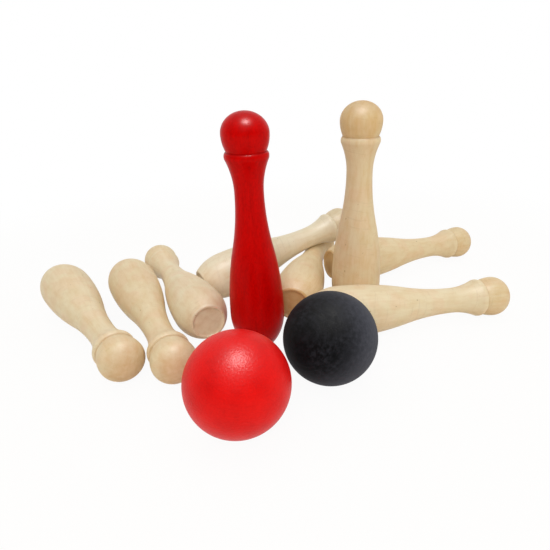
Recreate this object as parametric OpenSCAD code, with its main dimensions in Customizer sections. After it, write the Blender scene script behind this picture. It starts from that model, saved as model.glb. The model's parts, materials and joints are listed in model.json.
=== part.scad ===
// Outdoor bowling set: nine turned wooden pins and two wooden balls, as they lie after a throw.
// Millimetres. +Z is up and the ground is z = 0. The bowler stands on the -Y side.
// The origin is on the ground, under the middle of the whole group.

/* [Pin] */
// Height of a standing pin
pin_h = 230; // [205:1:260]
// Diameter of the foot
foot_d = 37; // [30:0.5:44]
// Diameter of the belly, the pin's widest place
belly_d = 56; // [50:0.5:62]
// Height of the belly's widest place above the foot
belly_z = 32; // [24:1:44]
// Share of the long S curve above the belly that bulges, the rest being hollow
belly_share = 0.57; // [0.45:0.01:0.7]
// Diameter of the neck, the narrowest place
neck_d = 27.5; // [22:0.5:32]
// Drop from the groove under the head to the narrowest place of the neck
neck_drop = 36; // [28:1:50]

/* [Collar and head] */
// Diameter of the collar
collar_d = 41; // [38:0.5:46]
// Height of the collar's rounding, half of it above the collar's widest place
collar_h = 8; // [3:0.5:10]
// Diameter at the bottom of the groove between collar and head
groove_d = 36.5; // [31:0.5:37]
// Diameter of the head
head_d = 43.4; // [39:0.2:48]
// Height of the head above the groove
head_h = 34; // [30:0.2:40]
// Height of the crown above the head's widest place
crown_h = 18.8; // [14:0.2:22]

/* [Foot] */
// Width of the flat rim that a pin stands on
rim_w = 1.6; // [1:0.1:4]
// Depth of the dish turned into the foot
dish_depth = 1.8; // [0.6:0.1:4]
// Width of the cove between the dish's flat bottom and the rim
cove_w = 3.5; // [1:0.1:6]
// Width and height of the broken edge round the foot
foot_edge = 0.8; // [0.3:0.1:2]

/* [Balls] */
// Diameter of each ball
ball_d = 85; // [70:1:95]

/* [Layout] */
// Gap on the ground between the middle pin and the red one
gap_middle = 1.7; // [0.5:0.1:8]
// Gap between the front right pin and the middle one
gap_right_front = 0.6; // [0.5:0.1:8]
// Gap between the standing natural pin and the front right one
gap_standing = 6.2; // [0.5:0.1:8]
// Gap between the back right pin and the middle one
gap_right_back = 1.2; // [0.5:0.1:8]
// Gap between the third pin from the left and the red one
gap_left_back = 4.6; // [0.5:0.1:8]
// Gap between the second pin from the left and the third
gap_left_inner = 1.5; // [0.5:0.1:8]
// Gap between the first pin from the left and the second
gap_left_outer = 1.9; // [0.5:0.1:8]
// Gap on the ground plan between the leaning pin and the third from the left
gap_leaning = 0.6; // [0.3:0.1:8]
// Gap where the leaning pin's neck crosses the pin below it
lean_gap = 0.3; // [0.1:0.1:2]
// Gap between the black ball and the front right pin
gap_ball_black = 0.5; // [0.5:0.1:8]
// Gap between the red ball and the black one
gap_ball_red = 13.6; // [0.5:0.1:40]
// Least gap between any other two pieces
play = 0.5; // [0.3:0.1:5]

/* [Hidden] */
$fn = 128;

natural_wood = [0.87, 0.74, 0.55];
pin_red_paint = [0.72, 0.04, 0.05];
ball_red_paint = [0.87, 0.12, 0.11];
ball_black_paint = [0.14, 0.15, 0.17];

// Radii and heights along the pin, from the foot up
foot_r = foot_d / 2;
belly_r = belly_d / 2;
neck_r = neck_d / 2;
collar_r = collar_d / 2;
groove_r = groove_d / 2;
head_r = head_d / 2;
ball_r = ball_d / 2;
groove_z = pin_h - head_h;
collar_z = groove_z - collar_h;
neck_z = groove_z - neck_drop;
head_z = pin_h - crown_h;

// Points on an arc of radius r about c, from angle a0 to a1, or on an oval of half width w
// and half height h
function arc(c, r, a0, a1, steps) = oval(c, r, r, a0, a1, steps);
function oval(c, w, h, a0, a1, steps) =
    [for (i = [0:steps]) let (a = a0 + (a1 - a0) * i / steps) c + [w * cos(a), h * sin(a)]];

// Radius of the arc that runs straight up at one end, and by its other end has moved sideways
// by d and along by h
function lift_r(d, h) = (d * d + h * h) / (2 * d);

// Dish in the foot: flat bottom, then a cove out to the rim
dish_r = foot_r - foot_edge - rim_w;
dish = concat([[0, dish_depth]], oval([dish_r - cove_w, 0], cove_w, dish_depth, 90, 0, 6));

// Lower belly: one arc from the foot's edge out to the widest place
low_r = lift_r(belly_r - foot_r, belly_z - foot_edge);
low_angle = asin((belly_z - foot_edge) / low_r);
low_belly = arc([belly_r - low_r, belly_z], low_r, -low_angle, 0, 10);

// S curve: the bulge and the hollow above it touch where both run the same way
s_drop = neck_z - belly_z;
s_in = belly_r - neck_r;
bulge_r = belly_share * lift_r(s_in, s_drop);
hollow_r = (1 - belly_share) * lift_r(s_in, s_drop);
s_angle = asin(s_drop / (bulge_r + hollow_r));
bulge = arc([belly_r - bulge_r, belly_z], bulge_r, 0, s_angle, 14);
hollow = arc([neck_r + hollow_r, neck_z], hollow_r, 180 + s_angle, 180, 12);

// Flare from the neck out to the collar's rounding, which it meets where both lean alike, then
// the collar, and the head above the groove
bead_w = collar_r - groove_r;
bead_angle = -35;
bead = oval([groove_r, collar_z + collar_h / 2], bead_w, collar_h / 2, bead_angle, 90, 10);
flare_r = lift_r(bead[0].x - neck_r, bead[0].y - neck_z);
flare_angle = asin((bead[0].y - neck_z) / flare_r);
flare = arc([neck_r + flare_r, neck_z], flare_r, 180, 180 - flare_angle, 10);
cheek_r = lift_r(head_r - groove_r, head_z - groove_z);
cheek_angle = asin((head_z - groove_z) / cheek_r);
cheek = arc([head_r - cheek_r, head_z], cheek_r, -cheek_angle, 0, 8);
crown = oval([0, head_z], head_r, crown_h, 0, 90, 16);

// Each curve starts on the last point of the one before it, so that point is left out
function after(points) = [for (i = [1:len(points) - 1]) points[i]];
outside = concat(
    [[foot_r - foot_edge, 0]], low_belly, after(bulge), after(hollow), after(flare),
    after(bead), after(cheek), after(crown)
);
profile = concat(dish, outside);

// Radius of the pin at a height above its foot
radius_table = [for (p = outside) [p.y, p.x]];
function radius_at(z) = lookup(z, radius_table);

// A pin's place is [x, y, heading, tilt]: where the middle of its foot is, which way its head
// points on the ground, and how far its head is raised. A standing pin has a tilt of 90.
function heading(p) = p[2];
function tilt(p) = p[3];
function tilted(p, t) = [p.x, p.y, heading(p), t];
function along(p) = [cos(heading(p)) * cos(tilt(p)), sin(heading(p)) * cos(tilt(p)), sin(tilt(p))];

// How far below the middle of the foot some points of the outline reach at a tilt
function reach(points, t) = max([for (p = points) p.x * cos(t) - p.y * sin(t)]);
function foot_at(p) = [p.x, p.y, reach(outside, tilt(p))];

// Root of a rising function between two values, each step halving the stretch that holds it
function root(f, low, high, steps = 24) =
    let (mid = (low + high) / 2)
    steps == 0 ? mid : f(mid) > 0 ? root(f, low, mid, steps - 1) : root(f, mid, high, steps - 1);

// A pin on its side rests on belly and head: both then reach as far down as each other
low_points = [for (p = outside) if (p.y <= neck_z) p];
high_points = [for (p = outside) if (p.y > neck_z) p];
side_tilt = root(function (t) reach(low_points, t) - reach(high_points, t), low = -20, high = 10);

// What a piece covers on the ground, as circles [x, y, r]. A pin on its side has a row of them
// along its axis, and smaller ones that fill the corners of its foot. A ball's place is [x, y].
circle_count = 20;
circle_span = pin_h - head_r - belly_z;
circle_heights = [for (i = [0:circle_count]) belly_z + circle_span * i / circle_count];
corner_radii = foot_r * [0.11, 0.45, 0.9];
function is_ball(p) = len(p) == 2;
function is_up(p) = tilt(p) == 90;
function on_ground(p, s, w) = [
    p.x + along(p).x * s - sin(heading(p)) * w,
    p.y + along(p).y * s + cos(heading(p)) * w
];
function round_at(p, s, w, r) = let (c = on_ground(p, s, w)) [c.x, c.y, r];
function corner_w(r) = belly_r - low_r + sqrt(pow(low_r - r, 2) - pow(belly_z - r, 2));
function foot_lean(p, w) = abs(along(p).z) * sqrt(max(0, foot_r * foot_r - w * w));
function corner(p, r, side) = let (w = corner_w(r)) round_at(p, r - foot_lean(p, w), side * w, r);
function circles(p) =
    is_ball(p) ? [[p.x, p.y, ball_r]]
    : is_up(p) ? [[p.x, p.y, max(belly_r, head_r)]]
    : concat(
        [for (s = circle_heights) round_at(p, s, 0, radius_at(s))],
        [for (r = corner_radii, side = [-1, 1]) corner(p, r, side)]
    );
function gap_between(p, q) =
    min([for (a = circles(p), b = circles(q)) norm([a.x - b.x, a.y - b.y]) - a[2] - b[2]]);

// A piece is laid beside one that is already there, on a bearing from foot to foot. It lies as
// near as its gap to that one, and the least gap to the others that it could meet, allow.
halvings = 16;
function spare(p, beside, gap, others) =
    min([gap_between(p, beside) - gap, for (q = others) gap_between(p, q) - play]);
function pin_beside(beside, others, bearing, heads, gap, leans = side_tilt) =
    let (at = function (d) [beside.x + d * cos(bearing), beside.y + d * sin(bearing), heads, leans])
    at(root(function (d) spare(at(d), beside, gap, others), 0, pin_h, halvings));
function ball_beside(beside, others, bearing, gap) =
    let (at = function (d) [beside.x + d * cos(bearing), beside.y + d * sin(bearing)])
    at(root(function (d) spare(at(d), beside, gap, others), 0, pin_h, halvings));

// The pins and balls in the order in which they are laid down, the red pin first
place_red = [0, 0, 90, 90];
place_middle = pin_beside(place_red, [], bearing = 27.5, heads = 78, gap = gap_middle);
place_right_front = pin_beside(
    place_middle, [place_red], bearing = -53.4, heads = 12.2, gap = gap_right_front
);
place_standing = pin_beside(
    place_right_front, [place_red, place_middle], bearing = 52.5, heads = 13, gap = gap_standing,
    leans = 90
);
place_right_back = pin_beside(
    place_middle, [place_standing], bearing = 64.4, heads = 23.8, gap = gap_right_back
);
place_left_back = pin_beside(
    place_red, [place_middle], bearing = 195.7, heads = 117.2, gap = gap_left_back
);
place_left_inner = pin_beside(
    place_left_back, [place_red], bearing = 133.4, heads = -61.9, gap = gap_left_inner
);
place_left_outer = pin_beside(
    place_left_inner, [place_left_back], bearing = 189.5, heads = -52.1, gap = gap_left_outer
);
place_ball_black = ball_beside(
    place_right_front, [place_red], bearing = -77.3, gap = gap_ball_black
);
place_ball_red = ball_beside(
    place_ball_black, [place_red, place_left_inner], bearing = 218, gap = gap_ball_red
);

// The leaning pin lies over the middle one, and clear of the rest. Its tilt is a first guess
// here, and is worked out below.
lean_angle_guess = 10;
leaning_flat = pin_beside(
    place_left_back, [place_red, place_right_back], bearing = 103.1, heads = 30.9, gap = gap_leaning,
    leans = lean_angle_guess
);

// Gap between the leaning pin and the middle one where their axes cross, for a tilt of the first
function crossing_gap(upper, lower) =
    let (
        u = along(upper),
        v = along(lower),
        n = cross(u, v),
        up = n * sign(n.z) / norm(n),
        d = foot_at(lower) - foot_at(upper),
        s = cross(d, v) * n / (n * n),
        t = cross(d, u) * n / (n * n)
    )
    -(d * up) - radius_at(s) - radius_at(t);
lean_tilt = root(
    function (t) crossing_gap(tilted(leaning_flat, t), place_middle) - lean_gap,
    low = side_tilt, high = 40
);
place_leaning = tilted(leaning_flat, lean_tilt);

// The whole group's box on the ground, whose middle is the origin
function half_width(p, r, axis) = r * sqrt(1 - along(p)[axis] * along(p)[axis]);
function reach_of(p, axis, side) =
    is_ball(p) ? p[axis] + side * ball_r
    : side * max([for (q = outside) side * (p[axis] + q.y * along(p)[axis]) + half_width(p, q.x, axis)]);
everything = [
    place_red, place_middle, place_right_front, place_standing, place_right_back, place_left_back,
    place_left_inner, place_left_outer, place_leaning, place_ball_black, place_ball_red
];
function box_middle(axis) =
    let (
        low = min([for (p = everything) reach_of(p, axis, -1)]),
        high = max([for (p = everything) reach_of(p, axis, 1)])
    )
    (low + high) / 2;
origin = [box_middle(0), box_middle(1), 0];

// One pin, turned from a single blank, standing on its foot
module pin() {
    rotate_extrude() polygon(profile);
}

module pin_at(place) {
    translate(foot_at(place) - origin) rotate([0, 90 - tilt(place), heading(place)]) pin();
}

module ball_at(place) {
    translate([place.x, place.y, ball_r] - origin) sphere(r = ball_r);
}

module pin_red() {
    color(pin_red_paint) pin_at(place_red);
}

module pin_standing() {
    color(natural_wood) pin_at(place_standing);
}

module pin_middle() {
    color(natural_wood) pin_at(place_middle);
}

module pin_leaning() {
    color(natural_wood) pin_at(place_leaning);
}

module pin_left_outer() {
    color(natural_wood) pin_at(place_left_outer);
}

module pin_left_inner() {
    color(natural_wood) pin_at(place_left_inner);
}

module pin_left_back() {
    color(natural_wood) pin_at(place_left_back);
}

module pin_right_back() {
    color(natural_wood) pin_at(place_right_back);
}

module pin_right_front() {
    color(natural_wood) pin_at(place_right_front);
}

module ball_red() {
    color(ball_red_paint) ball_at(place_ball_red);
}

module ball_black() {
    color(ball_black_paint) ball_at(place_ball_black);
}

pin_middle();
pin_red();
pin_standing();
pin_leaning();
pin_left_outer();
pin_left_inner();
pin_left_back();
pin_right_back();
pin_right_front();
ball_red();
ball_black();
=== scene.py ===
import json
import math

import bpy
import numpy as np
from mathutils import Matrix, Vector

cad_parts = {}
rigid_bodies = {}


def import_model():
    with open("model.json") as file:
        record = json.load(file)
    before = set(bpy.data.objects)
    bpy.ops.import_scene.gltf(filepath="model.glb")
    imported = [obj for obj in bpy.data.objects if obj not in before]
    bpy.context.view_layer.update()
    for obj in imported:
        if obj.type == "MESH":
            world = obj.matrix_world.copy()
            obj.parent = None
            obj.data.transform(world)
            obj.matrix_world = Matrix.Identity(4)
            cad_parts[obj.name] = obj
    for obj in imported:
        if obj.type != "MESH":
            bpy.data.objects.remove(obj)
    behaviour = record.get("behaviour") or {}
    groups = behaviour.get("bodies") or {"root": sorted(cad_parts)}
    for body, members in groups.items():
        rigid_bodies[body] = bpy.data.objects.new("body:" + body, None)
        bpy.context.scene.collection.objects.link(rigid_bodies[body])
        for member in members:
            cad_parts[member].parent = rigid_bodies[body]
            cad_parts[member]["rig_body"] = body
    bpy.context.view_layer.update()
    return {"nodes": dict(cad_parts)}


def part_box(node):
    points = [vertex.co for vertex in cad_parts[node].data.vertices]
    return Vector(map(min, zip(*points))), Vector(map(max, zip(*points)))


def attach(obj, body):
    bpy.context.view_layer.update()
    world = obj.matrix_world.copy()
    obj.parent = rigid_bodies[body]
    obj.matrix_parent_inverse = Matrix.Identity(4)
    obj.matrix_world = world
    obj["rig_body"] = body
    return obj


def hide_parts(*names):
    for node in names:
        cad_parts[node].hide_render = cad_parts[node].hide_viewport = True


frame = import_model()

bl_info = {
    "name": "Garden Skittles",
    "version": (1, 0, 0),
    "blender": (4, 5, 0),
    "location": "3D View > Sidebar > Skittles",
    "description": "Nine turned pins and two balls of a lawn skittles set",
    "category": "Add Mesh",
}

# Natural pins: the frame's node, the turn of its blank about its axis in degrees, its tone, below
# 0 for cool and pale and above 0 for warm and brown, and the tone of its head and of its foot. The
# head and foot values are partly the end grain's own colour and partly painted shade: warmer and
# browner on ends that lie in deep shade, and paler on the ends whose shade they offset
NATURAL_PINS = (
    ("pin_standing", 20, 0.5, 1.9, 0),
    ("pin_middle", 75, 0.6, 0.8, 3.2),
    ("pin_leaning", 140, -0.7, -0.3, -1.4),
    ("pin_left_outer", 200, -0.2, 0.35, 0),
    ("pin_left_inner", 265, 0.1, 0.3, 0),
    ("pin_left_back", 310, -0.3, -0.1, -0.6),
    ("pin_right_back", 15, 0.3, 1.0, 2.4),
    ("pin_right_front", 100, -0.2, 0.8, 0),
)
RED_PIN = ("pin_red", 40, 0, 0, 0)

# Balls: the frame's node, and how far its pole leans forward and sideways in degrees
RED_BALL = ("ball_red", 14, 12)
# The black ball's lean also sets where its painted rim sheen shows
BLACK_BALL = ("ball_black", 38, -50)

# Steps that each stretch of a pin's outline is drawn in, from the foot up
STEPS = {
    "dish": 8, "cove": 12, "lower": 22, "bulge": 36, "hollow": 28, "flare": 24, "bead": 20,
    "cheek": 16, "crown": 30,
}

# How finely the turnings are cut
PIN_FACETS = 112
BALL_FACETS = 160
BALL_RINGS = 112

# Farthest that a dressed piece may stand from the solid it stands for, in metres
FIT = 0.0003

# A pin stands upright if the level part of its axis, a direction of length 1, is below this
UPRIGHT = 0.01

# How far from a groove's bottom its painted shade, a darker colour, reaches, in metres
GROOVE_SHADE_REACH = 0.0008

# Fibres and streaks: how many times as long as wide they are
FIBRE_STRETCH = 22
STREAK_STRETCH = 14

# Growth rings: the size of their bends and how far they bend, in metres, how much a place's
# height in the tree counts in its distance from the middle, and between which shares of a ring's
# width its line grows dark and ends
RING_BEND_SIZE = (0.03, 0.03, 0.12)
RING_BEND = 0.012
RING_TAPER = 0.04
RING_DARKENS = (0.35, 0.95)
RING_ENDS = (0.95, 1.0)

# Turning lines: the size of their waves and how far they wave, in metres
LINE_WAVE_SIZE = (0.01, 0.01, 0.01)
LINE_WAVE = 0.0004

# Pores and small knots: their sizes in metres
PORE_SIZE = (0.00028, 0.00028, 0.0022)
KNOT_SIZE = (0.0035, 0.0035, 0.005)

# Rubs from handling: how many there are in a metre, across the blank and along the outline
RUBS_ACROSS = 90
RUBS_ALONG = 500

# Sizes of what shows in the stain and the paints, in metres. Strokes run round a ball's pole
STAIN_GRIT = (0.002, 0.002, 0.003)
RED_CLOUDS = (0.02, 0.02, 0.02)
RED_STROKES = (0.02, 0.02, 0.0012)
RED_GRIT = (0.0016, 0.0016, 0.0016)
BLACK_CLOUDS = (0.03, 0.03, 0.03)
BLACK_WISPS = (0.004, 0.004, 0.004)
BLACK_STROKES = (0.02, 0.02, 0.0014)
BLACK_GRIT = (0.0015, 0.0015, 0.0015)

# Height of the relief in the wood and the stain, and in the paints, in metres
WOOD_RELIEF = 0.00006
RED_RELIEF = 0.0005
BLACK_RELIEF = 0.0003

# The black ball's painted rim sheen, a lighter colour that stands in for the pale surroundings
# mirrored at its edge: how far towards the pole from the ball's middle it is still whole, and how
# far it reaches, in metres
RIM_SHEEN_WHOLE = -0.006
RIM_SHEEN_END = 0.034

# Plain white, as red, green and blue
WHITE = (1, 1, 1)

# The floor's radius in metres and its number of corners, and how far from the middle it begins
# to turn plain white and is wholly so
FLOOR_RADIUS = 4.0
FLOOR_CORNERS = 64
WHITE_FROM = 0.35
WHITE_TO = 0.8

# The dim lamps, each with a power of the same name in the stage's settings, and their diameter
FILL_LAMPS = (
    ("fill_front", (-0.05, -1.45, 1.15)),
    ("fill_left", (-1.6, -0.5, 0.7)),
    ("fill_right", (1.6, -0.5, 0.7)),
)
FILL_SIZE = 1.2

# The camera's sensor width in millimetres, and the nearest that it sees, in metres
SENSOR_WIDTH = 36
NEAREST = 0.01


def length(name, description, default):
    """A size in metres."""
    return bpy.props.FloatProperty(
        name=name, description=description, default=default, min=0, precision=4,
        unit="LENGTH", subtype="DISTANCE",
    )


def share(name, description, default):
    """A number from 0 to 1."""
    return bpy.props.FloatProperty(
        name=name, description=description, default=default, min=0, max=1, subtype="FACTOR",
    )


def glow(name, description, default):
    """A strength of light."""
    return bpy.props.FloatProperty(name=name, description=description, default=default, min=0)


def angle(name, description, degrees):
    """An angle, given here in degrees."""
    return bpy.props.FloatProperty(
        name=name, description=description, default=math.radians(degrees),
        unit="ROTATION", subtype="ANGLE",
    )


def colour(name, description, screen):
    """A colour, given here as the red, green and blue from 0 to 255 that a screen shows."""
    part = np.array(screen) / 255
    # A screen's curve: a straight line in the darkest tones, and a power of 2.4 above them
    linear = np.where(part <= 0.04045, part / 12.92, ((part + 0.055) / 1.055) ** 2.4)
    return bpy.props.FloatVectorProperty(
        name=name, description=description, default=linear.tolist(), min=0, max=1, size=3,
        subtype="COLOR",
    )


class PinShape(bpy.types.PropertyGroup):
    """Outline of a pin, standing on its foot."""

    height: length("Height", "Height of a standing pin", 0.230)
    foot: length("Foot", "Diameter of the foot", 0.037)
    belly: length("Belly", "Diameter of the widest place", 0.056)
    belly_height: length("Belly height", "Height of the widest place above the foot", 0.032)
    bulge: share("Bulge", "Share of the S curve above the belly that bulges", 0.57)
    neck: length("Neck", "Diameter of the narrowest place", 0.0275)
    neck_drop: length("Neck drop", "From the groove down to the narrowest place", 0.036)
    collar: length("Collar", "Diameter of the collar", 0.041)
    collar_height: length("Collar height", "Height of the collar's rounding", 0.008)
    groove: length("Groove", "Diameter at the bottom of the groove", 0.0365)
    head: length("Head", "Diameter of the head", 0.0434)
    head_height: length("Head height", "Height of the head above the groove", 0.034)
    crown: length("Crown", "Height of the crown above the head's widest place", 0.0188)
    rim: length("Rim", "Width of the flat rim that the pin stands on", 0.0016)
    dish: length("Dish", "Depth of the dish turned into the foot", 0.0018)
    cove: length("Cove", "Width of the cove between the dish and the rim", 0.0035)
    foot_edge: length("Foot edge", "Width and height of the foot's broken edge", 0.0008)
    eased: length("Eased corners", "How far each corner is rounded by sanding", 0.0004)


class WoodLook(bpy.types.PropertyGroup):
    """Colours and figure of the bare wood."""

    pale: colour("Pale wood", "Colour of the bare wood", (230, 215, 181))
    honey: colour("Honey wood", "Colour of its darker streaks", (204, 164, 96))
    ash: colour("Ashen wood", "Colour of the coolest blanks", (234, 225, 201))
    rose: colour("Rose wood", "Colour of its pinkish patches", (230, 208, 174))
    end: colour("End grain", "Colour of the wood cut across its fibres", (190, 150, 106))
    # The specks' colour also serves as the groove's painted shade
    speck_and_shade: colour("Specks", "Colour of pores and small knots", (120, 78, 40))
    ring_width: length("Ring width", "Distance between two growth rings", 0.0042)
    pith: length("Pith", "Distance from a blank's axis to the middle of the tree", 0.055)
    fibre: length("Fibre", "Width of a fine fibre streak", 0.0009)
    streak: length("Streak", "Width of a broad streak", 0.006)
    patch: length("Patch", "Size of a patch of one tone", 0.02)
    blotch: length("Blotch", "Size of a blotch within a patch", 0.007)
    turning: length("Turning lines", "Distance between two turning lines", 0.0007)


class PaintLook(bpy.types.PropertyGroup):
    """Colours of the red pin and of the two balls."""

    stain: colour("Red stain", "Colour of the stained pin", (204, 2, 1))
    # The deep stain's colour also serves as the groove's painted shade
    stain_deep_and_shade: colour("Deep red stain", "The stain where it lies thick", (166, 0, 0))
    red: colour("Red paint", "Colour of the red ball", (229, 14, 10))
    red_deep: colour("Deep red paint", "The red paint's darker clouds", (198, 5, 5))
    black: colour("Black paint", "Colour of the black ball", (3, 3, 4))
    # This colour is also the black ball's painted rim sheen
    bloom_and_sheen: colour("Bloom", "Greyish blue bloom on the black paint", (82, 84, 94))


class StageLook(bpy.types.PropertyGroup):
    """Camera, floor and light."""

    camera_x: length("Camera X", "How far right of the middle the camera stands", 0.02175)
    camera_back: length("Camera back", "How far in front of the middle it stands", 0.45117)
    camera_height: length("Camera height", "Height of the camera", 0.2664)
    pitch: angle("Pitch", "How far the camera looks down", 26.215)
    roll: angle("Roll", "How far the camera leans", -1.779)
    focal: bpy.props.FloatProperty(
        name="Focal length", description="Focal length of the lens in millimetres",
        default=29.769, unit="CAMERA",
    )
    shift_x: bpy.props.FloatProperty(name="Shift X", description="Lens shift", default=-0.0318)
    shift_y: bpy.props.FloatProperty(name="Shift Y", description="Lens shift", default=0.0189)
    floor: colour("Floor", "Colour of the floor", (240, 232, 219))
    white: share("White", "Share of the floor's look that is plain white near the pins", 0.94)
    lamp_x: length("Lamp X", "How far right of the middle the lamp hangs", 0.08)
    lamp_front: length("Lamp front", "How far in front of the middle it hangs", 0.22)
    lamp_height: length("Lamp height", "Height of the lamp", 1.0)
    lamp_size: length("Lamp size", "Diameter of the lamp", 0.32)
    lamp_power: glow("Lamp power", "Power of the lamp in watts", 30)
    tent: colour("Tent", "Colour of the soft light all round", (255, 253, 249))
    top: glow("Top light", "Soft light from above", 1.06)
    back: glow("Back light", "Soft light from behind the pins", 0.8)
    fill_front: glow("Front fill", "Power of the dim lamp beside the camera", 14.2)
    fill_left: glow("Left fill", "Power of the dim lamp on the left", 1)
    fill_right: glow("Right fill", "Power of the dim lamp on the right", 5)
    left: glow("Left light", "Soft light from the left", 0.05)
    right: glow("Right light", "Soft light from the right", 0.1)


class SkittlesSet(bpy.types.PropertyGroup):
    """Everything that can be changed about the set."""

    pin: bpy.props.PointerProperty(type=PinShape)
    wood: bpy.props.PointerProperty(type=WoodLook)
    paint: bpy.props.PointerProperty(type=PaintLook)
    stage: bpy.props.PointerProperty(type=StageLook)


def settings():
    """The set's sizes and colours."""
    return bpy.context.scene.skittles


def oval(centre, width, height, start, end, steps):
    """Points centre + (width cos a, height sin a), for angles a evenly from start to end."""
    a = np.radians(np.linspace(start, end, steps + 1))
    return np.array(centre) + np.column_stack([width * np.cos(a), height * np.sin(a)])


def arc(centre, radius, start, end, steps):
    """Points centre + radius (cos a, sin a), for angles a evenly from start to end."""
    return oval(centre, radius, radius, start, end, steps)


def lift_radius(sideways, up):
    """Radius of an arc that starts straight up, and ends that far sideways and that far up."""
    return (sideways**2 + up**2) / (2 * sideways)


def walked(curve):
    """Distance of each point from the first, walked along the curve."""
    steps = np.hypot(*np.diff(curve, axis=0).T)
    return np.concatenate([[0], np.cumsum(steps)])


def trimmed(curve, first, last):
    """The curve without a first and a last stretch of it, both in metres."""
    s = walked(curve)
    inside = s[(s > first) & (s < s[-1] - last)]
    kept = np.concatenate([[first], inside, [s[-1] - last]])
    return np.column_stack([np.interp(kept, s, curve[:, 0]), np.interp(kept, s, curve[:, 1])])


def joined(curves, rounds, steps=4):
    """One outline from curves that meet end to end. At a join with a round above zero, both
    curves stop that far short, and a curve (1-t)(1-t) A + 2t(1-t) corner + tt B bridges them."""
    t = np.linspace(0, 1, steps + 1)[1:-1, None]
    before = [0, *rounds]
    after = [*rounds, 0]
    outline = [trimmed(c, b, a) for c, b, a in zip(curves, before, after)]
    pieces = [outline[0]]
    for i, size in enumerate(rounds):
        a, corner, b = outline[i][-1], curves[i][-1], outline[i + 1][0]
        if size:
            pieces.append((1 - t) ** 2 * a + 2 * t * (1 - t) * corner + t**2 * b)
        pieces.append(outline[i + 1] if size else outline[i + 1][1:])
    return np.concatenate(pieces)


def pin_outline(pin):
    """Radius and height of a pin's outline, from the middle of its foot up to the crown: level
    dish, cove, level rim, broken edge, lower belly, bulge, hollow, flare, collar bead, cheek and
    crown. Each is a line, an arc or an oval that starts where the one before it ends."""
    foot, belly, neck = pin.foot / 2, pin.belly / 2, pin.neck / 2
    collar, groove, head = pin.collar / 2, pin.groove / 2, pin.head / 2
    groove_z = pin.height - pin.head_height
    collar_z = groove_z - pin.collar_height
    neck_z = groove_z - pin.neck_drop
    head_z = pin.height - pin.crown
    belly_z = pin.belly_height
    edge = pin.foot_edge

    dish = foot - edge - pin.rim
    radii = np.linspace(0, dish - pin.cove, STEPS["dish"] + 1)
    level = np.column_stack([radii, np.full(len(radii), pin.dish)])
    cove = oval((dish - pin.cove, 0), pin.cove, pin.dish, 90, 0, STEPS["cove"])
    rim = np.array([[dish, 0], [foot - edge, 0]])
    broken = np.array([[foot - edge, 0], [foot, edge]])
    low = lift_radius(belly - foot, belly_z - edge)
    low_turn = math.degrees(math.asin((belly_z - edge) / low))
    lower = arc((belly - low, belly_z), low, -low_turn, 0, STEPS["lower"])

    whole = lift_radius(belly - neck, neck_z - belly_z)
    turn = math.degrees(math.asin((neck_z - belly_z) / whole))
    bulge_r, hollow_r = pin.bulge * whole, (1 - pin.bulge) * whole
    bulge = arc((belly - bulge_r, belly_z), bulge_r, 0, turn, STEPS["bulge"])
    hollow = arc((neck + hollow_r, neck_z), hollow_r, 180 + turn, 180, STEPS["hollow"])

    bead_start = -35  # degrees, where the flare runs into the bead
    bead_width, bead_height = collar - groove, pin.collar_height / 2
    bead_centre = (groove, collar_z + bead_height)
    bead = oval(bead_centre, bead_width, bead_height, bead_start, 90, STEPS["bead"])
    out, up = bead[0] - (neck, neck_z)
    flare_r = lift_radius(out, up)
    flare_turn = math.degrees(math.asin(up / flare_r))
    flare = arc((neck + flare_r, neck_z), flare_r, 180, 180 - flare_turn, STEPS["flare"])
    cheek_r = lift_radius(head - groove, head_z - groove_z)
    cheek_turn = math.degrees(math.asin((head_z - groove_z) / cheek_r))
    cheek = arc((head - cheek_r, head_z), cheek_r, -cheek_turn, 0, STEPS["cheek"])
    crown = oval((0, head_z), head, pin.crown, 0, 90, STEPS["crown"])

    # Sanding eases the rim's two corners, the one above the broken edge, and the groove
    e = pin.eased
    curves = [level, cove, rim, broken, lower, bulge, hollow, flare, bead, cheek, crown]
    return joined(curves, [0, e, e, e, 0, 0, 0, 0, e, 0])


def sphere_outline(radius, rings):
    """Radius and height of half a circle, from the lowest point to the highest."""
    a = np.linspace(-math.pi / 2, math.pi / 2, rings + 1)
    outline = radius * np.column_stack([np.cos(a), np.sin(a)])
    outline[[0, -1], 0] = 0
    return outline


def turned_points(outline, facets):
    """Surface of revolution (r cos a, r sin a, z) over the outline's points and even angles a.
    The outline's two ends lie on the axis and are one point each: first and last."""
    a = np.arange(facets) * 2 * math.pi / facets
    r, z = outline[1:-1, :1], outline[1:-1, 1:]
    rings = np.stack([r * np.cos(a), r * np.sin(a), z + 0 * a], axis=-1).reshape(-1, 3)
    return np.concatenate([[[0, 0, outline[0, 1]]], rings, [[0, 0, outline[-1, 1]]]])


def turned_faces(ring_count, facets):
    """Quads between neighbouring rings, and triangles from the end rings to the two poles."""
    here = np.arange(facets)
    beside = (here + 1) % facets
    first, last = 0, 1 + ring_count * facets
    row = 1 + facets * np.arange(ring_count - 1)[:, None]
    quads = np.stack([row + here, row + beside, row + facets + beside, row + facets + here], -1)
    top = last - facets
    low_cap = np.stack([np.full(facets, first), 1 + beside, 1 + here], -1)
    high_cap = np.stack([top + here, top + beside, np.full(facets, last)], -1)
    return low_cap.tolist() + quads.reshape(-1, 4).tolist() + high_cap.tolist()


def per_point(values, facets):
    """One value for each point of the outline, repeated round its ring."""
    return np.concatenate([values[:1], np.repeat(values[1:-1], facets), values[-1:]])


def add_attribute(mesh, name, kind, values):
    """A number or vector at each point of the mesh, for its material to read."""
    field = "vector" if kind == "FLOAT_VECTOR" else "value"
    layer = mesh.attributes.new(name, kind, "POINT")
    layer.data.foreach_set(field, np.asarray(values, np.float32).ravel())


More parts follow.
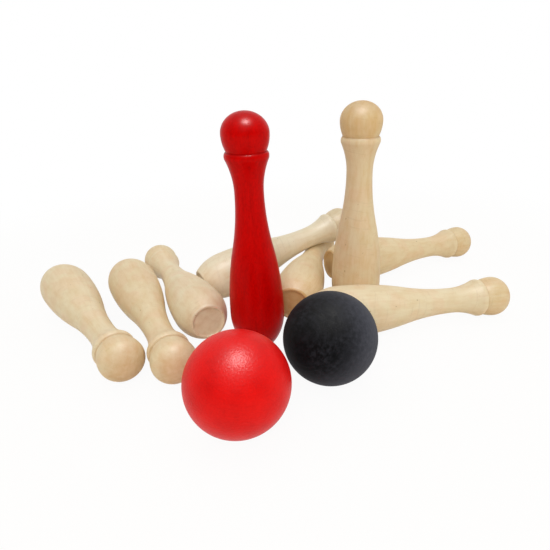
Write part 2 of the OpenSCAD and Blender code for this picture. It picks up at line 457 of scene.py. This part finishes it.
def turned_piece(name, outline, facets, place, blank_turn, pith, tones_and_shade, groove_shades=()):
    """A turning, put where place, a foot point and a matrix of three directions, says. Its mesh
    holds what its finish reads: blank, a point's place in the tree it was cut from; turning, the
    distance walked along the outline; end_grain, how squarely the surface cuts the fibres; for the
    groove's painted shade, exp(-dd), where d is the height above a groove's bottom divided by the
    groove's width; and tone, one number for each point of the outline, which on some heads and
    feet is partly painted shade."""
    foot, directions = place
    local = turned_points(outline, facets)
    mesh = bpy.data.meshes.new(name)
    ring_count = len(outline) - 2
    mesh.from_pydata((local @ directions.T + foot).tolist(), [], turned_faces(ring_count, facets))
    mesh.polygons.foreach_set("use_smooth", np.ones(len(mesh.polygons), bool))

    c, s = math.cos(blank_turn), math.sin(blank_turn)
    spin = np.array([[c, s, 0], [-s, c, 0], [0, 0, 1]])
    along = np.gradient(outline, axis=0)
    squareness = np.abs(along[:, 0]) / np.hypot(along[:, 0], along[:, 1])
    depth = np.zeros(len(outline))
    # How near each point lies to a groove's bottom, for the groove's painted shade
    for height, width in groove_shades:
        near = np.exp(-(((outline[:, 1] - height) / width) ** 2))
        depth = np.maximum(depth, near)
    add_attribute(mesh, "blank", "FLOAT_VECTOR", local @ spin + (pith, 0, 0))
    add_attribute(mesh, "turning", "FLOAT", per_point(walked(outline), facets))
    add_attribute(mesh, "end_grain", "FLOAT", per_point(squareness, facets))
    add_attribute(mesh, "crevice", "FLOAT", per_point(depth, facets))
    add_attribute(mesh, "tone", "FLOAT", per_point(tones_and_shade, facets))
    piece = bpy.data.objects.new(name, mesh)
    bpy.context.scene.collection.objects.link(piece)
    return piece


def node_points(node):
    """The points of a node's solid, and the triangles between them."""
    mesh = frame["nodes"][node].data
    mesh.calc_loop_triangles()
    points = np.empty(len(mesh.vertices) * 3)
    mesh.vertices.foreach_get("co", points)
    triangles = np.empty(len(mesh.loop_triangles) * 3, np.int32)
    mesh.loop_triangles.foreach_get("vertices", triangles)
    return points.reshape(-1, 3), triangles.reshape(-1, 3)


def pin_place(node):
    """Where a pin lies: the middle of its foot, three directions of which the last is its axis
    from foot to head, and its height. Each triangle of the solid makes a wedge with the origin.
    The wedges' volumes V, sums s of corners and squares of corners give the solid's centre,
    sum V s / 4, and its spread, sum V (ss + aa + bb + cc) / 20, whose longest direction is the
    axis. The heavy foot is the end nearer to the centre."""
    points, triangles = node_points(node)
    a, b, c = points[triangles].transpose(1, 0, 2)
    volume = (a * np.cross(b, c)).sum(1) / 6
    s = a + b + c
    total = volume.sum()
    centre = (volume[:, None] * s).sum(0) / 4 / total
    squares = sum(np.einsum("n,ni,nj->ij", volume, p, p) for p in (s, a, b, c)) / 20
    axis = np.linalg.eigh(squares / total - np.outer(centre, centre))[1][:, -1]
    reach = (points - centre) @ axis
    if -reach.min() > reach.max():
        axis, reach = -axis, -reach
    level = np.array([-axis[1], axis[0], 0])
    if np.linalg.norm(level) < UPRIGHT:
        level = np.array([1, 0, 0])
    level = level - axis * (level @ axis)
    level = level / np.linalg.norm(level)
    directions = np.column_stack([level, np.cross(axis, level), axis])
    return centre + axis * reach.min(), directions, reach.max() - reach.min()


def ball_place(node):
    """A ball's centre and radius, from its node's box."""
    low, high = (np.array(corner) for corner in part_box(node))
    return (low + high) / 2, (high - low).mean() / 2


def dress(piece, node, material):
    """Lets a piece stand for a node: same body, same place, and its finish."""
    low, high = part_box(node)
    corners = np.array([v.co for v in piece.data.vertices])
    off = max(np.abs(corners.min(0) - low).max(), np.abs(corners.max(0) - high).max())
    if off > FIT:
        raise RuntimeError(f"{piece.name} is {off * 1000:.2f} mm off the solid of {node}")
    piece.data.materials.append(material)
    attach(piece, frame["nodes"][node]["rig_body"])
    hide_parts(node)


class Value:
    """A number, colour or vector in a finish. Sums on it add Math nodes."""

    def __init__(self, finish, socket):
        self.finish = finish
        self.socket = socket

    def math(self, operation, *others):
        return self.finish.node("Math", {"operation": operation}, [self, *others])

    def __add__(self, other):
        return self.math("ADD", other)

    def __sub__(self, other):
        return self.math("SUBTRACT", other)

    def __rsub__(self, other):
        return self.finish.node("Math", {"operation": "SUBTRACT"}, [other, self])

    def __mul__(self, other):
        return self.math("MULTIPLY", other)

    def __truediv__(self, other):
        return self.math("DIVIDE", other)

    def __pow__(self, other):
        return self.math("POWER", other)

    __radd__ = __add__

    def scaled(self, x, y, z):
        """This vector with each part multiplied."""
        return self.finish.node("VectorMath", {"operation": "MULTIPLY"}, [self, (x, y, z)])

    def moved(self, other):
        """This vector plus another."""
        return self.finish.node("VectorMath", {"operation": "ADD"}, [self, other])

    def size(self):
        """Length of this vector."""
        return self.finish.node("VectorMath", {"operation": "LENGTH"}, [self], "Value")

    def between(self, low, high):
        """0 where this number is below low, 1 above high, and a smooth step from one to the
        other."""
        kind = {"interpolation_type": "SMOOTHSTEP"}
        inputs = {"Value": self, "From Min": low, "From Max": high}
        return self.finish.node("MapRange", kind, inputs)


class Finish:
    """The nodes of a material, or of the world, written as sums."""

    def __init__(self, owner):
        owner.use_nodes = True
        self.owner = owner
        self.tree = owner.node_tree
        self.tree.nodes.clear()

    def node(self, kind, options, inputs=(), output=0):
        """Adds a node of a kind, its options first, such as a Math node's operation, then its
        sockets' values or links, given by name or in order. Returns one of its outputs, by its
        place or name, if it has any."""
        made = self.tree.nodes.new("ShaderNode" + kind)
        for key, option in options.items():
            setattr(made, key, option)
        sockets = [s for s in made.inputs if s.enabled]
        names = [s.name for s in sockets]
        named = inputs.items() if isinstance(inputs, dict) else enumerate(inputs)
        for key, value in named:
            index = names.index(key) if isinstance(key, str) else key
            self.feed(sockets[index], value)
        for index, socket in enumerate(s for s in made.outputs if s.enabled):
            if output in (index, socket.name):
                return Value(self, socket)

    def feed(self, socket, value):
        """Links a value to a socket, or sets the socket to a plain number or colour."""
        if isinstance(value, Value):
            self.tree.links.new(value.socket, socket)
        elif socket.type == "RGBA":
            socket.default_value = (*tuple(value)[:3], 1)
        else:
            socket.default_value = value

    def attribute(self, name, output="Fac"):
        """What the piece's mesh holds under a name."""
        return self.node("Attribute", {"attribute_name": name}, output=output)

    def noise(self, place, size, detail=2, rough=0.5):
        """Cloudy noise from 0 to 1, whose clouds are size metres big along each direction."""
        point = place.scaled(*(1 / s for s in size))
        inputs = {"Vector": point, "Scale": 1, "Detail": detail, "Roughness": rough}
        return self.node("TexNoise", {}, inputs)

    def mix(self, amount, one, other):
        """A blend of two colours, the first where amount is 0 and the other where it is 1."""
        return self.node("Mix", {"data_type": "RGBA"}, {"Factor": amount, "A": one, "B": other})

    def seen(self, mirrored=1):
        """1 for what the camera sees, a share for what it sees in a reflection or through glass,
        and else 0."""
        camera, glossy, glass = (
            self.node("LightPath", {}, (), f"Is {kind} Ray")
            for kind in ("Camera", "Glossy", "Transmission")
        )
        return camera + (glossy + glass) * mirrored

    def bump(self, height, strength, distance):
        """A normal that leans as if the surface rose and fell by height times distance."""
        inputs = {"Height": height, "Strength": strength, "Distance": distance}
        return self.node("Bump", {}, inputs)

    def surface(self, **inputs):
        """Ends the finish in a Principled surface. Its inputs are named with underscores."""
        named = {key.replace("_", " "): value for key, value in inputs.items()}
        shader = self.node("BsdfPrincipled", {}, named)
        self.node("OutputMaterial", {}, {"Surface": shader})
        return self.owner


def fine_fibres(finish, blank, wood):
    """Fine fibres along the tree, from 0 to 1."""
    width = wood.fibre
    return finish.noise(blank, (width, width, width * FIBRE_STRETCH), detail=3)


def broad_streaks(finish, blank, wood):
    """Broad streaks along the tree, from 0 to 1."""
    width = wood.streak
    return finish.noise(blank, (width, width, width * STREAK_STRETCH), detail=2)


def growth_rings(finish, blank, wood):
    """Ring lines from 0 to 1. A ring is where the distance from the tree's middle, bent a little
    by noise, passes a multiple of the ring width."""
    bend = finish.noise(blank, RING_BEND_SIZE, detail=2)
    from_pith = blank.scaled(1, 1, RING_TAPER).size() + bend * RING_BEND
    phase = (from_pith / wood.ring_width).math("FRACT")
    return phase.between(*RING_DARKENS) * (1 - phase.between(*RING_ENDS))


def turning_lines(finish, blank, wood):
    """Lines round the turning from 0 to 1: sin(2 pi s / w) / 2 + 1 / 2, where w is the distance
    between two lines, and s is the distance walked along the outline, moved a little by noise."""
    waves = finish.noise(blank, LINE_WAVE_SIZE, detail=1)
    along = finish.attribute("turning") + waves * LINE_WAVE
    return (along * (2 * math.pi / wood.turning)).math("SINE") * 0.5 + 0.5


def handling_rubs(finish, blank):
    """Faint rubs from handling, from 0 to 1, narrow along the outline and wide across it."""
    along = finish.attribute("turning") * RUBS_ALONG
    place = blank.scaled(RUBS_ACROSS, RUBS_ACROSS, RUBS_ACROSS)
    place = place.moved(finish.node("CombineXYZ", {}, [along]))
    return finish.noise(place, (1, 1, 1), detail=2).between(0.58, 0.75)


def bare_wood(wood):
    """Bare pale wood: rings and streaks over patches of tone, brown end grain, fine dark pores,
    small knots, faint rubs and turning lines, and a satin sheen."""
    finish = Finish(bpy.data.materials.new("bare_wood"))
    blank = finish.attribute("blank", "Vector")
    fibres = fine_fibres(finish, blank, wood)
    streaks = broad_streaks(finish, blank, wood)
    rings = growth_rings(finish, blank, wood)
    lines = turning_lines(finish, blank, wood)
    tone = finish.attribute("tone")
    end = finish.attribute("end_grain").between(0.25, 0.85)
    cool = (tone * -1).between(0, 1)
    # How deep in the groove a point lies, for the painted shade there
    crevice = finish.attribute("crevice")

    # The ground's tone, in patches, and cooler and paler on the cool blanks and on the ends whose
    # tone is set low as painted light against their shade
    patches = finish.noise(blank, (wood.patch,) * 3, detail=2)
    ground = finish.mix(patches.between(0.42, 0.62), wood.pale, wood.rose)
    ground = finish.mix(cool * 0.8, ground, wood.ash)

    # Each kind of figure adds its share of honey, and so does the tone of the blank, which on some
    # heads and feet is partly painted shade
    blotches = finish.noise(blank, (wood.blotch, wood.blotch, wood.blotch * 2), detail=3)
    figure = streaks.between(0.3, 0.8) * 0.13 + blotches.between(0.35, 0.75) * 0.18
    figure = figure + fibres.between(0.2, 0.8) * 0.12 + rings * 0.05
    warmed = figure + tone * 0.2
    base = finish.mix(warmed, ground, wood.honey)

    # Over that lie end grain, pores and knots, painted shade in the groove, and the grime of rubs
    base = finish.mix(end * (blotches * 0.4 + 0.1), base, wood.end)
    pores = finish.noise(blank, PORE_SIZE, detail=1).between(0.7, 0.8)
    base = finish.mix(pores * 0.28, base, wood.speck_and_shade)
    knots = finish.noise(blank, KNOT_SIZE, detail=0).between(0.83, 0.87)
    base = finish.mix(knots * 0.4, base, wood.speck_and_shade)
    rubs = handling_rubs(finish, blank)
    # The groove's darker colour is painted shade; the rubs are real grime from handling
    base = finish.mix(crevice * 0.15 + rubs * 0.08, base, wood.speck_and_shade)

    height = fibres * 0.5 + lines * 0.35 - pores * 0.8
    return finish.surface(
        Base_Color=base,
        Roughness=0.41 + fibres * 0.14 + end * 0.06,
        Specular_IOR_Level=0.19,
        Normal=finish.bump(height, strength=0.35, distance=WOOD_RELIEF),
    )


def red_stain(wood, paint):
    """Polished red stain that lets the fibres show, deeper in the end grain, and darker in the
    groove as painted shade.
    """
    finish = Finish(bpy.data.materials.new("red_stain"))
    blank = finish.attribute("blank", "Vector")
    fibres = fine_fibres(finish, blank, wood)
    streaks = broad_streaks(finish, blank, wood)
    rings = growth_rings(finish, blank, wood)
    lines = turning_lines(finish, blank, wood)
    end = finish.attribute("end_grain").between(0.7, 1.0)
    crevice = finish.attribute("crevice")
    # Each kind of figure and the grit add their share of deeper stain
    depth = streaks.between(0.35, 0.75) * 0.25 + fibres.between(0.3, 0.8) * 0.3 + rings * 0.1
    grit = finish.noise(blank, STAIN_GRIT, detail=3)
    base = finish.mix(depth + grit.between(0.45, 0.6) * 0.25, paint.stain, paint.stain_deep_and_shade)
    # End grain takes more stain; the deeper red near the groove is painted shade
    base = finish.mix(end * 0.2 + crevice * 0.7, base, paint.stain_deep_and_shade)
    height = fibres * 0.5 + lines * 0.3 + grit * 0.6
    return finish.surface(
        Base_Color=base,
        Roughness=0.28 + fibres * 0.08,
        Specular_IOR_Level=0.06,
        Normal=finish.bump(height, strength=0.3, distance=WOOD_RELIEF),
    )


def red_paint(wood, paint):
    """Satin red paint, a little clouded and gritty, with brush strokes and with the turning lines
    of the ball below it."""
    finish = Finish(bpy.data.materials.new("red_paint"))
    blank = finish.attribute("blank", "Vector")
    lines = turning_lines(finish, blank, wood)
    clouds = finish.noise(blank, RED_CLOUDS, detail=3).between(0.4, 0.75)
    strokes = finish.noise(blank, RED_STROKES, detail=2)
    grit = finish.noise(blank, RED_GRIT, detail=3)
    # Clouds, strokes and grit each add their share of the deeper red
    thick = clouds * 0.5 + strokes.between(0.3, 0.7) * 0.14 + grit.between(0.4, 0.7) * 0.2
    base = finish.mix(thick, paint.red, paint.red_deep)
    height = grit * 0.8 + strokes * 0.12 + lines * 0.05
    return finish.surface(
        Base_Color=base,
        Roughness=0.35 + grit * 0.12,
        Specular_IOR_Level=0.14,
        Normal=finish.bump(height, strength=0.6, distance=RED_RELIEF),
    )


def black_paint(paint):
    """Matt black paint, rubbed and mottled, with a greyish bloom, and with a painted sheen of the
    same greyish blue that grows farther from the ball's pole, standing in for the pale
    surroundings mirrored at its rim."""
    finish = Finish(bpy.data.materials.new("black_paint"))
    blank = finish.attribute("blank", "Vector")
    clouds = finish.noise(blank, BLACK_CLOUDS, detail=1).between(0.35, 0.65)
    wisps = finish.noise(blank, BLACK_WISPS, detail=4, rough=0.65).between(0.38, 0.66)
    strokes = finish.noise(blank, BLACK_STROKES, detail=2)
    # Painted rim sheen: the colour grows lighter the farther a point lies from the pole
    along_pole = finish.node("SeparateXYZ", {}, [blank], "Z")
    painted_rim_sheen = 1 - along_pole.between(RIM_SHEEN_WHOLE, RIM_SHEEN_END)
    # Bloom comes with wisps, more of them in the clouds, and with strokes; farther from the pole
    # the same colour is painted sheen at the ball's rim
    worn_and_sheen = wisps * (clouds * 0.12 + 0.05) + strokes.between(0.45, 0.75) * 0.06 + painted_rim_sheen * 0.66
    base = finish.mix(worn_and_sheen, paint.black, paint.bloom_and_sheen)
    grit = finish.noise(blank, BLACK_GRIT, detail=2)
    height = grit * 0.7 + strokes * 0.4 + wisps * 0.3
    return finish.surface(
        Base_Color=base,
        Roughness=0.62 + wisps * 0.12,
        Specular_IOR_Level=0.08,
        Normal=finish.bump(height, strength=0.6, distance=BLACK_RELIEF),
    )


def make_pin(name, node, blank_turn, tone, head_tone_and_shade, foot_tone_and_shade, slot, material):
    """Turns one pin and puts it in its node's place."""
    looks = settings()
    pin = looks.pin
    foot, directions, height = pin_place(node)
    if abs(height - pin.height) > FIT:
        raise RuntimeError(f"{node} is {height:.4f} m tall, its outline {pin.height:.4f} m")
    groove_z = pin.height - pin.head_height
    # The groove gets painted shade: a darker colour near its bottom
    groove_shades = [(groove_z, GROOVE_SHADE_REACH)]
    outline = pin_outline(pin)
    # The head and foot values are partly painted shade on the ends that lie in shade
    parts = [outline[:, 1] > groove_z, outline[:, 1] <= pin.dish]
    tones_and_shade = np.select(parts, [head_tone_and_shade, foot_tone_and_shade], tone)
    piece = turned_piece(
        name, outline, PIN_FACETS, (foot, directions), math.radians(blank_turn),
        looks.wood.pith, tones_and_shade, groove_shades,
    )
    dress(piece, node, material)


def make_ball(name, node, forward, sideways, slot, material):
    """Turns one ball about an axis that leans forward and sideways by some degrees, and puts it
    in its node's place."""
    centre, radius = ball_place(node)
    leant = Matrix.Rotation(math.radians(forward), 3, "X")
    directions = np.array(Matrix.Rotation(math.radians(sideways), 3, "Y") @ leant)
    outline = sphere_outline(radius, BALL_RINGS)
    piece = turned_piece(
        name, outline, BALL_FACETS, (centre, directions), 0, settings().wood.pith,
        np.zeros(len(outline)),
    )
    dress(piece, node, material)


class SKITTLES_OT_natural_pins(bpy.types.Operator):
    """Turns the eight pins of bare wood"""

    bl_idname = "skittles.natural_pins"
    bl_label = "Natural pins"

    def execute(self, context):
        material = bare_wood(settings().wood)
        for node, *cut in NATURAL_PINS:
            make_pin("natural_" + node, node, *cut, "natural_wood", material)
        return {"FINISHED"}


class SKITTLES_OT_red_pin(bpy.types.Operator):
    """Turns the pin that is stained red"""

    bl_idname = "skittles.red_pin"
    bl_label = "Red pin"

    def execute(self, context):
        material = red_stain(settings().wood, settings().paint)
        make_pin("stained_pin", *RED_PIN, "red_stain", material)
        return {"FINISHED"}


class SKITTLES_OT_red_ball(bpy.types.Operator):
    """Turns the ball that is painted red"""

    bl_idname = "skittles.red_ball"
    bl_label = "Red ball"

    def execute(self, context):
        material = red_paint(settings().wood, settings().paint)
        make_ball("painted_ball_red", *RED_BALL, "red_paint", material)
        return {"FINISHED"}


class SKITTLES_OT_black_ball(bpy.types.Operator):
    """Turns the ball that is painted black"""

    bl_idname = "skittles.black_ball"
    bl_label = "Black ball"

    def execute(self, context):
        material = black_paint(settings().paint)
        make_ball("painted_ball_black", *BLACK_BALL, "black_paint", material)
        return {"FINISHED"}


def add_lamp(name, place, size, power, mirrored=False):
    """A round soft lamp at a place, turned towards the middle of the pins. A mirrored lamp only
    makes highlights on them, and any other one only lights them."""
    lamp = bpy.data.lights.new(name, "AREA")
    lamp.shape = "DISK"
    lamp.size = size
    lamp.energy = power
    holder = bpy.data.objects.new(name, lamp)
    holder.location = place
    holder.rotation_mode = "QUATERNION"
    holder.rotation_quaternion = (-Vector(place)).to_track_quat("-Z", "Y")
    holder.visible_glossy = mirrored
    holder.visible_diffuse = not mirrored
    bpy.context.scene.collection.objects.link(holder)


def floor_finish(stage):
    """Pale floor. Seen by the camera or in a reflection it is mostly plain white, wholly so far
    from the pins, and otherwise it is a pale matt surface that takes shadows."""
    finish = Finish(bpy.data.materials.new("floor"))
    place = finish.node("TexCoord", {}, (), "Object")
    far = place.size().between(WHITE_FROM, WHITE_TO)
    white = finish.seen() * (stage.white + far * (1 - stage.white))
    matt = finish.node("BsdfDiffuse", {}, {"Color": stage.floor})
    plain = finish.node("Emission", {}, {"Color": WHITE, "Strength": 1})
    both = finish.node("MixShader", {}, [white, matt, plain])
    finish.node("OutputMaterial", {}, {"Surface": both})
    return finish.owner


def surroundings(stage):
    """A light tent, open towards the camera. It is white where the camera sees it or where its
    far side is mirrored. Elsewhere it is soft light, whose strength from a direction (x, y, z) is
    the sum of four lobes: top zz, back y, left xx and right xx, each on its own side only."""
    world = bpy.data.worlds.new("surroundings")
    bpy.context.scene.world = world
    finish = Finish(world)
    direction = finish.node("TexCoord", {}, (), "Generated")
    x, y, z = (finish.node("SeparateXYZ", {}, [direction], part) for part in "XYZ")
    tent = z.math("MAXIMUM", 0) ** 2 * stage.top + y.math("MAXIMUM", 0) * stage.back
    tent = tent + (x * -1).math("MAXIMUM", 0) ** 2 * stage.left
    tent = tent + x.math("MAXIMUM", 0) ** 2 * stage.right
    far_side = y.between(-0.5, 0.0)
    seen = finish.seen(mirrored=far_side)
    soft = finish.node("Background", {}, {"Color": stage.tent, "Strength": tent})
    white = finish.node("Background", {}, {"Color": WHITE, "Strength": 1})
    both = finish.node("MixShader", {}, [seen, soft, white])
    finish.node("OutputWorld", {}, {"Surface": both})


def lay_floor(stage):
    """A level round floor at height 0."""
    a = np.linspace(0, 2 * math.pi, FLOOR_CORNERS + 1)[:-1]
    rim = np.column_stack([FLOOR_RADIUS * np.cos(a), FLOOR_RADIUS * np.sin(a), 0 * a])
    mesh = bpy.data.meshes.new("floor")
    mesh.from_pydata(rim.tolist(), [], [list(range(len(rim)))])
    mesh.materials.append(floor_finish(stage))
    floor = bpy.data.objects.new("floor", mesh)
    bpy.context.scene.collection.objects.link(floor)


def hang_lamps(stage):
    """The lamp overhead, which makes the highlights, and the dim lamps round the pins."""
    above = (stage.lamp_x, -stage.lamp_front, stage.lamp_height)
    add_lamp("overhead", above, stage.lamp_size, stage.lamp_power, mirrored=True)
    for name, place in FILL_LAMPS:
        add_lamp(name, place, FILL_SIZE, getattr(stage, name))


def set_camera(stage):
    """The camera in front of the pins. It looks level along +Y, then down by the pitch, and leans
    about its line of sight by the roll."""
    lens = bpy.data.cameras.new("camera")
    lens.sensor_width = SENSOR_WIDTH
    lens.lens = stage.focal
    lens.shift_x = stage.shift_x
    lens.shift_y = stage.shift_y
    lens.clip_start = NEAREST
    camera = bpy.data.objects.new("camera", lens)
    bpy.context.scene.collection.objects.link(camera)
    place = Matrix.Translation((stage.camera_x, -stage.camera_back, stage.camera_height))
    down = Matrix.Rotation(math.pi / 2 - stage.pitch, 4, "X")
    camera.matrix_world = place @ down @ Matrix.Rotation(stage.roll, 4, "Z")
    bpy.context.scene.camera = camera


class SKITTLES_OT_stage(bpy.types.Operator):
    """Lays the pale floor, hangs the lamps and sets up the camera"""

    bl_idname = "skittles.stage"
    bl_label = "Stage"

    def execute(self, context):
        stage = settings().stage
        context.scene.view_settings.view_transform = "Standard"
        lay_floor(stage)
        surroundings(stage)
        hang_lamps(stage)
        set_camera(stage)
        return {"FINISHED"}


class SKITTLES_PT_set(bpy.types.Panel):
    """Buttons and sizes of the skittles set"""

    bl_idname = "SKITTLES_PT_set"
    bl_label = "Garden Skittles"
    bl_space_type = "VIEW_3D"
    bl_region_type = "UI"
    bl_category = "Skittles"

    def draw(self, context):
        looks = context.scene.skittles
        for operator in OPERATORS:
            self.layout.operator(operator.bl_idname)
        for group in (looks.pin, looks.wood, looks.paint, looks.stage):
            box = self.layout.box()
            for key in group.__annotations__:
                box.prop(group, key)


OPERATORS = (
    SKITTLES_OT_natural_pins,
    SKITTLES_OT_red_pin,
    SKITTLES_OT_red_ball,
    SKITTLES_OT_black_ball,
    SKITTLES_OT_stage,
)
CLASSES = (
    PinShape, WoodLook, PaintLook, StageLook, SkittlesSet, *OPERATORS, SKITTLES_PT_set,
)


def register():
    for kind in CLASSES:
        bpy.utils.register_class(kind)
    bpy.types.Scene.skittles = bpy.props.PointerProperty(type=SkittlesSet)


def unregister():
    del bpy.types.Scene.skittles
    for kind in reversed(CLASSES):
        bpy.utils.unregister_class(kind)


def main():
    register()
    bpy.ops.skittles.natural_pins()
    bpy.ops.skittles.red_pin()
    bpy.ops.skittles.red_ball()
    bpy.ops.skittles.black_ball()
    bpy.ops.skittles.stage()


if __name__ == "__main__":
    main()
